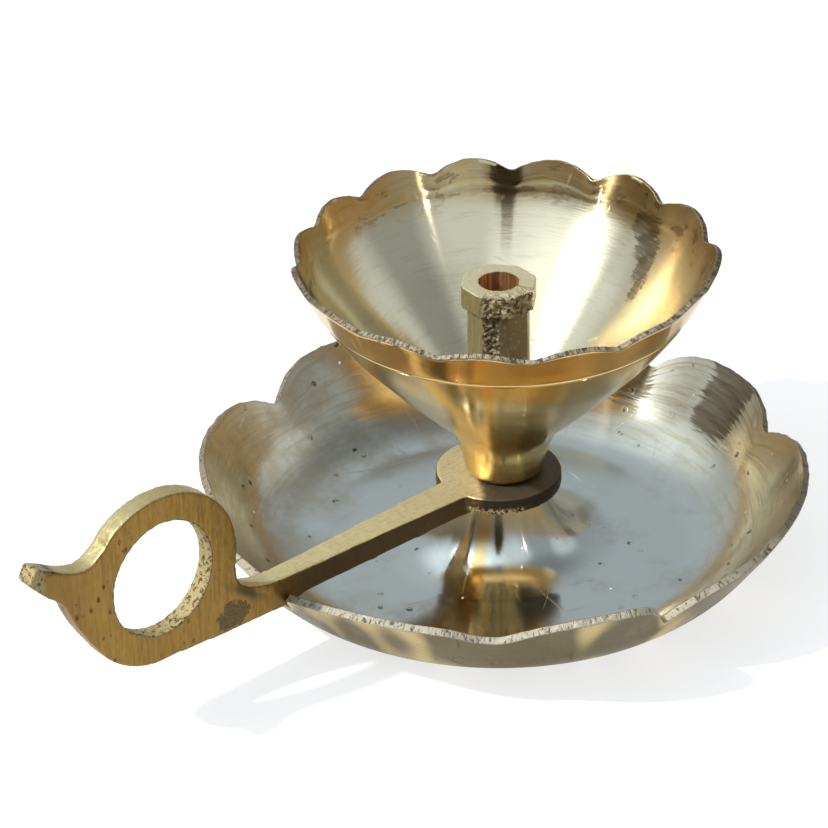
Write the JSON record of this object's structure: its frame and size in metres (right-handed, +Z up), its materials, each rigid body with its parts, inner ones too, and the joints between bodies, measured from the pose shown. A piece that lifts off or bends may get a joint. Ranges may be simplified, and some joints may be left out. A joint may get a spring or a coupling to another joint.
{
  "type": "brass diya on a drip plate",
  "caption": "Brass oil lamp: scalloped flared cup with a central wick post, standing on a scalloped drip plate with a finger-ring handle held by a bolt through the stack.",
  "frame": {"origin": "on the plate's foot plane, under the middle of the outline box", "axes": "+Z up through the bolt, the ring handle points along -X, the plate stands on z = 0"},
  "size_m": [0.1432, 0.0996, 0.0561],
  "materials": {
    "polished_brass": "polished",
    "plate_brass": "polished",
    "brushed_brass": "satin",
    "cast_brass": "rough cast",
    "screw_brass": "turned"
  },
  "bodies": {
    "base": {"drip_plate": "plate_brass", "handle": "brushed_brass", "oil_cup": "polished_brass", "fixing_screw": "screw_brass", "washer": "screw_brass"},
    "wick": {"wick_holder": "cast_brass"}
  },
  "joints": [
    {"name": "wick_holder_lift", "type": "slide", "parent": "base", "child": "wick", "axis": [0, 0, 1], "range_m": [0, 0.04]}
  ]
}
